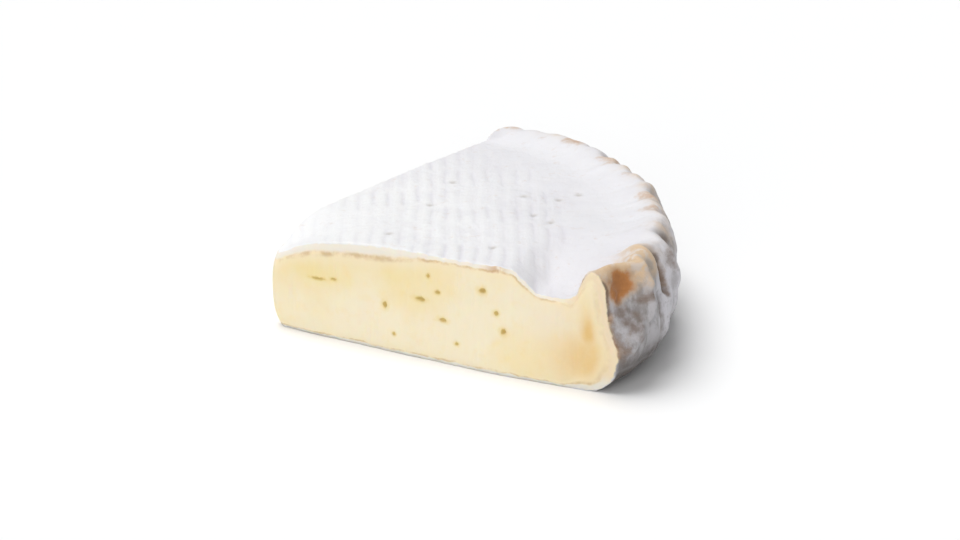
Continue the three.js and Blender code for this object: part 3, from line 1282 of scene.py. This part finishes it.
def srgb(red: int, green: int, blue: int) -> Colour:
    """Linear colour of a screen colour of 0 to 255."""
    shares = (value / 255.0 for value in (red, green, blue))
    return tuple(s / 12.92 if s <= 0.04045 else ((s + 0.055) / 1.055) ** 2.4 for s in shares)


@dataclass(frozen=True)
class Grain:
    """Noise of 0 to 1 in a material."""

    size: float  # of its lumps
    detail: float = 3.0
    rough: float = 0.5
    stretch: tuple[float, float, float] = (1.0, 1.0, 1.0)  # less than 1 along an axis draws the lumps out

    def of(self, graph: Graph) -> Signal:
        """Adds the noise to a graph.

        Args:
            graph: the material's graph.

        Returns:
            The noise.
        """
        place = graph.node("ShaderNodeMapping", {}, {"Vector": graph.place, "Scale": self.stretch})
        size = self.size * MM
        inputs = {"Vector": place, "Scale": 1.0 / size, "Detail": self.detail, "Roughness": self.rough}
        return graph.node("ShaderNodeTexNoise", {}, inputs)


@dataclass(frozen=True)
class Coat:
    """A colour that is laid on where a signal passes through a span."""

    colour: Colour
    span: Span
    strength: float = 1.0

    def over(self, below: Signal, signal: Signal) -> Signal:
        """Colour of the coat over what is below it."""
        amount = signal.between(*self.span) * self.strength
        return below.graph.blend(amount, below, self.colour)


@dataclass(frozen=True)
class RindFinish:
    """White bloomy rind: matt fuzz, thinner and greyer in the mat's dimples, tan and brown on the rim,
    with painted shade in the top's sunken basin, towards the rim, in the rim's hollows and creases and at
    its foot.
    """

    bloom: Colour = srgb(243, 243, 243)
    # painted shade of the top's bloom towards the rim
    bloom_worn: Colour = srgb(231, 230, 233)
    # the bloom in the mat's dimples, and painted shade in the top's basin
    bloom_thin: Colour = srgb(219, 216, 222)
    rim_bloom: Colour = srgb(219, 217, 222)
    # grey patches of the rim's bloom, and painted shade in its hollows and creases
    rim_grey_and_shade: Colour = srgb(142, 137, 135)
    # painted shade at the rim's foot
    rim_foot_shade: Colour = srgb(76, 66, 60)
    tan: Colour = srgb(216, 189, 156)
    pit: Colour = srgb(168, 158, 146)
    pit_share: float = 0.6
    stains: tuple[Coat, ...] = (
        Coat(srgb(196, 158, 118), (0.05, 0.5), 0.6),
        Coat(srgb(180, 120, 66), (0.35, 0.85)),
        Coat(srgb(132, 84, 44), (0.75, 1.25), 0.5),
    )
    stain_rough: float = 0.9
    # grimy streaks, and painted shade along the rim's creases
    grime: Coat = Coat(srgb(116, 96, 82), (0.15, 0.75), 0.8)
    grime_rough: float = 0.8
    mottle: Coat = Coat(srgb(142, 137, 135), (0.5, 0.72), 0.45)
    soft: Grain = Grain(14.0)
    speck: Grain = Grain(1.1, 3.0, 0.6)
    fuzz: Grain = Grain(0.45, 4.0, 0.65)
    tan_grain: Grain = Grain(3.0)
    rough: Grain = Grain(2.6, 4.0, 0.6)
    rim_patch: Grain = Grain(5.0, 4.0, 0.6, (1.0, 1.0, 0.45))
    rim_mottle: Grain = Grain(2.0, 4.0, 0.6)
    worn_least: float = 0.75
    worn_soft: float = 0.5
    thin_soft: Span = (0.48, 0.72)
    thin_share: float = 0.3
    thin_least: float = 0.5
    thin_speck: float = 0.6
    tan_span: Span = (0.35, 0.6)
    tan_least: float = 0.5
    tan_share: float = 0.8
    hollow_shade_share: float = 0.85
    patch_span: Span = (0.46, 0.66)
    patch_share: float = 0.5
    foot_shade_least: float = 0.7
    foot_shade_patch: float = 0.6
    fuzz_share: float = 0.6
    fuzz_depth: float = 0.22
    roughness: float = 0.82
    speck_roughness: float = 0.12

    def shader(self, graph: Graph) -> Signal:
        """Adds the rind's shader to a graph.

        Args:
            graph: the material's graph.

        Returns:
            The shader.
        """
        mark = graph.attribute
        soft = self.soft.of(graph)
        speck = self.speck.of(graph)
        rough = self.rough.of(graph) - 0.5
        # Painted shade: the top's bloom darkens towards the rim.
        worn = mark("worn") * (self.worn_least + self.worn_soft * soft)
        colour = graph.blend(worn, self.bloom, self.bloom_worn)
        # The mat's dimples, where the bloom is thinner, and painted shade in the top's basin are coloured
        # greyer.
        thin = mark("thin") + soft.between(*self.thin_soft) * self.thin_share
        colour = graph.blend(thin * (self.thin_least + self.thin_speck * speck), colour, self.bloom_thin)
        colour = graph.blend(mark("rim"), colour, self.rim_colour(graph))
        patches = self.tan_grain.of(graph).between(*self.tan_span)
        colour = graph.blend(mark("tan") * (self.tan_least + self.tan_share * patches), colour, self.tan)
        stain = mark("brown") + self.stain_rough * rough
        for coat in self.stains:
            colour = coat.over(colour, stain)
        # Grimy streaks, and painted shade along the rim's creases and in its hollows.
        colour = self.grime.over(colour, mark("grime") + self.grime_rough * rough)
        colour = graph.blend(mark("pit") * self.pit_share, colour, self.pit)
        height = self.fuzz_share * self.fuzz.of(graph) + (1.0 - self.fuzz_share) * speck
        inputs = {
            "Base Color": colour,
            "Roughness": self.roughness + self.speck_roughness * speck,
            "Normal": graph.bump(height, self.fuzz_depth),
            "Specular IOR Level": 0.25,
            "Sheen Weight": 0.2,
            "Sheen Roughness": 0.6,
            "Subsurface Weight": 0.12,
            "Subsurface Radius": (1.0, 0.85, 0.7),
            "Subsurface Scale": 0.0012,
        }
        return graph.node("ShaderNodeBsdfPrincipled", {}, inputs)

    def rim_colour(self, graph: Graph) -> Signal:
        """Colour of the rim: grey patches of the bloom, painted shade in its hollows and creases, and
        painted shade that darkens its foot.

        Args:
            graph: the material's graph.

        Returns:
            The colour.
        """
        patch = self.rim_patch.of(graph)
        # Painted shade in the rim's hollows and creases, over grey patches of the bloom.
        hollow = graph.attribute("hollow") * self.hollow_shade_share
        shade = hollow + patch.between(*self.patch_span) * self.patch_share
        colour = graph.blend(shade, self.rim_bloom, self.rim_grey_and_shade)
        colour = self.mottle.over(colour, self.rim_mottle.of(graph))
        # Painted shade: the rim's foot is coloured dark.
        foot = graph.attribute("foot") * (self.foot_shade_least + self.foot_shade_patch * patch)
        return graph.blend(foot, colour, self.rim_foot_shade)


@dataclass(frozen=True)
class PasteFinish:
    """The cut: creamy paste with riper patches, the rind's edge, the brown line and the gas eyes, with
    painted shade inside the eyes.
    """

    paste: Colour = srgb(246, 234, 206)
    paste_deep: Colour = srgb(245, 225, 173)
    ripe: Colour = srgb(233, 197, 132)
    pale: Colour = srgb(244, 232, 210)
    lemon: Colour = srgb(244, 222, 152)
    halo: Colour = srgb(236, 212, 136)
    halo_share: float = 0.55
    # painted shade inside the eyes' hollows, over a deeper yellow
    eye: Colour = srgb(212, 186, 114)
    edge: Colour = srgb(240, 234, 223)
    edge_rim: Colour = srgb(240, 221, 190)
    line: Colour = srgb(216, 190, 146)
    scorch: Colour = srgb(202, 164, 120)
    under_rind: Coat = Coat(srgb(246, 230, 196), (2.6, 1.2), 0.7)
    broad: Grain = Grain(26.0)
    streak: Grain = Grain(1.8, 3.0, 0.6, (1.0, 1.0, 0.16))
    fine: Grain = Grain(0.7, 3.0, 0.6)
    patch: Grain = Grain(5.0, 4.0, 0.6)
    mottle: Grain = Grain(3.6, 4.0, 0.62)
    uneven: Grain = Grain(7.0, 4.0, 0.6)
    uneven_least: float = 0.5
    broad_span: Span = (0.42, 0.68)
    broad_share: float = 0.7
    streak_span: Span = (0.5, 0.8)
    streak_share: float = 0.12
    mottle_span: Span = (0.5, 0.72)
    mottle_share: float = 0.28
    line_outer: Span = (0.7, 1.0)  # spans of depth are in shares of the rind's thickness
    line_inner: Span = (1.6, 1.1)
    line_loss: float = 0.65
    line_patch: Span = (0.36, 0.62)
    line_share: float = 0.9
    edge_span: Span = (1.1, 0.65)
    edge_least: float = 0.8
    edge_patch: float = 0.3
    scorch_span: Span = (1.7, 1.0)
    scorch_patch: Span = (0.3, 0.5)
    scorch_share: float = 0.75
    streak_height: float = 0.6
    relief: float = 0.14
    roughness: float = 0.45
    fine_roughness: float = 0.2

    def shader(self, graph: Graph, layer: Signal) -> Signal:
        """Adds the paste's shader to a graph.

        Args:
            graph: the material's graph.
            layer: depth below the plain wheel's surface, in shares of the rind's thickness.

        Returns:
            The shader.
        """
        mark = graph.attribute
        streak = self.streak.of(graph)
        fine = self.fine.of(graph)
        patch = self.patch.of(graph)
        deep = self.broad.of(graph).between(*self.broad_span) * self.broad_share
        deep = deep + streak.between(*self.streak_span) * self.streak_share
        deep = deep + self.mottle.of(graph).between(*self.mottle_span) * self.mottle_share
        colour = graph.blend(deep, self.paste, self.paste_deep)
        uneven = self.uneven_least + self.uneven.of(graph)
        colour = graph.blend(mark("pale"), colour, self.pale)
        colour = graph.blend(mark("ripe") * uneven, colour, self.ripe)
        colour = graph.blend(mark("lemon") * uneven, colour, self.lemon)
        colour = self.under_rind.over(colour, layer)
        rim_end = mark("rim_end")
        line = layer.between(*self.line_outer) * layer.between(*self.line_inner)
        line = line * (1.0 - self.line_loss * rim_end) * patch.between(*self.line_patch)
        colour = graph.blend(line * self.line_share, colour, self.line)
        edge = graph.blend(rim_end, self.edge, self.edge_rim)
        edge_share = layer.between(*self.edge_span) * (self.edge_least + self.edge_patch * patch)
        colour = graph.blend(edge_share, colour, edge)
        scorch = mark("scorch") * layer.between(*self.scorch_span) * patch.between(*self.scorch_patch)
        colour = graph.blend(scorch * self.scorch_share, colour, self.scorch)
        colour = graph.blend(mark("halo") * self.halo_share, colour, self.halo)
        # Painted shade inside the eyes' hollows.
        colour = graph.blend(mark("eye"), colour, self.eye)
        height = self.streak_height * streak + (1.0 - self.streak_height) * fine
        inputs = {
            "Base Color": colour,
            "Roughness": self.roughness + self.fine_roughness * fine,
            "Normal": graph.bump(height, self.relief),
            "Specular IOR Level": 0.35,
            "Subsurface Weight": 0.35,
            "Subsurface Radius": (1.0, 0.65, 0.3),
            "Subsurface Scale": 0.004,
        }
        return graph.node("ShaderNodeBsdfPrincipled", {}, inputs)


@dataclass(frozen=True)
class CheeseFinish:
    """Rind outside and paste on the cuts, told apart by what the wedge stores for each vertex."""

    rind: RindFinish = RindFinish()
    paste: PasteFinish = PasteFinish()
    ragged: Grain = Grain(4.0, 4.0, 0.6)
    ragged_depth: float = 1.6
    paste_span: Span = (0.05, 0.22)

    def material(self) -> bpy.types.Material:
        """Builds the material.

        Returns:
            One material for the whole wedge.
        """
        graph = Graph("cheese")
        edge = graph.attribute("depth") + self.ragged_depth * (self.ragged.of(graph) - 0.5)
        layer = edge / graph.attribute("thickness")
        share = graph.attribute("cut") * layer.between(*self.paste_span)
        shaders = {1: self.rind.shader(graph), 2: self.paste.shader(graph, layer)}
        return graph.finish(graph.node("ShaderNodeMixShader", {}, {0: share, **shaders}))


@dataclass(frozen=True)
class PlainFinish:
    """One matt colour, for the floor."""

    name: str
    colour: Colour

    def material(self) -> bpy.types.Material:
        """Builds the material.

        Returns:
            The material.
        """
        graph = Graph(self.name)
        inputs = {"Base Color": (*self.colour, 1.0), "Roughness": 0.9, "Specular IOR Level": 0.1}
        return graph.finish(graph.node("ShaderNodeBsdfPrincipled", {}, inputs))


# ---- the studio


@dataclass(frozen=True)
class SoftSun:
    """A broad, far light."""

    name: str
    toward: tuple[float, float, float]  # from the wedge to the light
    strength: float
    spread: float  # angle that the light fills, in degrees
    colour: Colour = (1.0, 1.0, 1.0)

    def hang(self) -> None:
        """Hangs the light and turns it to the wedge."""
        bpy.ops.object.light_add(type="SUN", location=self.toward)
        lamp = bpy.context.object
        lamp.name = self.name
        lamp.data.energy = self.strength
        lamp.data.angle = math.radians(self.spread)
        lamp.data.color = self.colour
        lamp.rotation_euler = (-lamp.location).to_track_quat("-Z", "Y").to_euler()


@dataclass(frozen=True)
class Studio:
    """Pale floor, soft light and the camera."""

    floor_side: float = 6.0
    floor_colour: Colour = (0.95, 0.95, 0.95)
    sky: Colour = (0.93, 0.96, 1.0)
    sky_strength: float = 0.1
    azimuth: float = -11.50
    elevation: float = 22.97
    distance: float = 0.64018
    aim: tuple[float, float, float] = (0.00139, -0.00619, 0.015)
    lens: float = 80.0
    suns: tuple[SoftSun, ...] = (
        SoftSun("key_light", (-0.23, 0.22, 0.95), 2.1, 42.0),
        SoftSun("front_light", (-0.42, -0.85, 0.32), 1.16, 50.0),
        SoftSun("top_light", (0.0, 0.0, 1.0), 0.69, 100.0),
    )

    def build(self) -> None:
        """Sets up everything round the wedge."""
        Bench.clear_selection()
        bpy.ops.mesh.primitive_plane_add(size=self.floor_side)
        floor = bpy.context.object
        floor.name = "floor"
        floor.data.materials.append(PlainFinish("floor", self.floor_colour).material())
        world = bpy.data.worlds.new("studio")
        world.use_nodes = True
        backdrop = world.node_tree.nodes["Background"]
        backdrop.inputs["Color"].default_value = (*self.sky, 1.0)
        backdrop.inputs["Strength"].default_value = self.sky_strength
        bpy.context.scene.world = world
        for sun in self.suns:
            sun.hang()
        self.set_camera()
        bpy.context.scene.view_settings.view_transform = "Standard"

    def set_camera(self) -> None:
        """Puts the camera where it sees the first cut, the top and the rim."""
        turn, rise = math.radians(self.azimuth), math.radians(self.elevation)
        back = Vector(
            (math.sin(turn) * math.cos(rise), -math.cos(turn) * math.cos(rise), math.sin(rise))
        )
        bpy.ops.object.camera_add(location=Vector(self.aim) + back * self.distance)
        camera = bpy.context.object
        camera.data.lens = self.lens
        camera.rotation_euler = (-back).to_track_quat("-Z", "Y").to_euler()
        bpy.context.scene.camera = camera


def main() -> None:
    """Builds the wedge and the studio."""
    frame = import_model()
    wedge = CheeseWedge().build(frame)
    log.info("%s: %d faces", wedge.name, len(wedge.data.polygons))
    Studio().build()
    log.info("studio: floor, lights and camera")


if __name__ == "__main__":
    main()
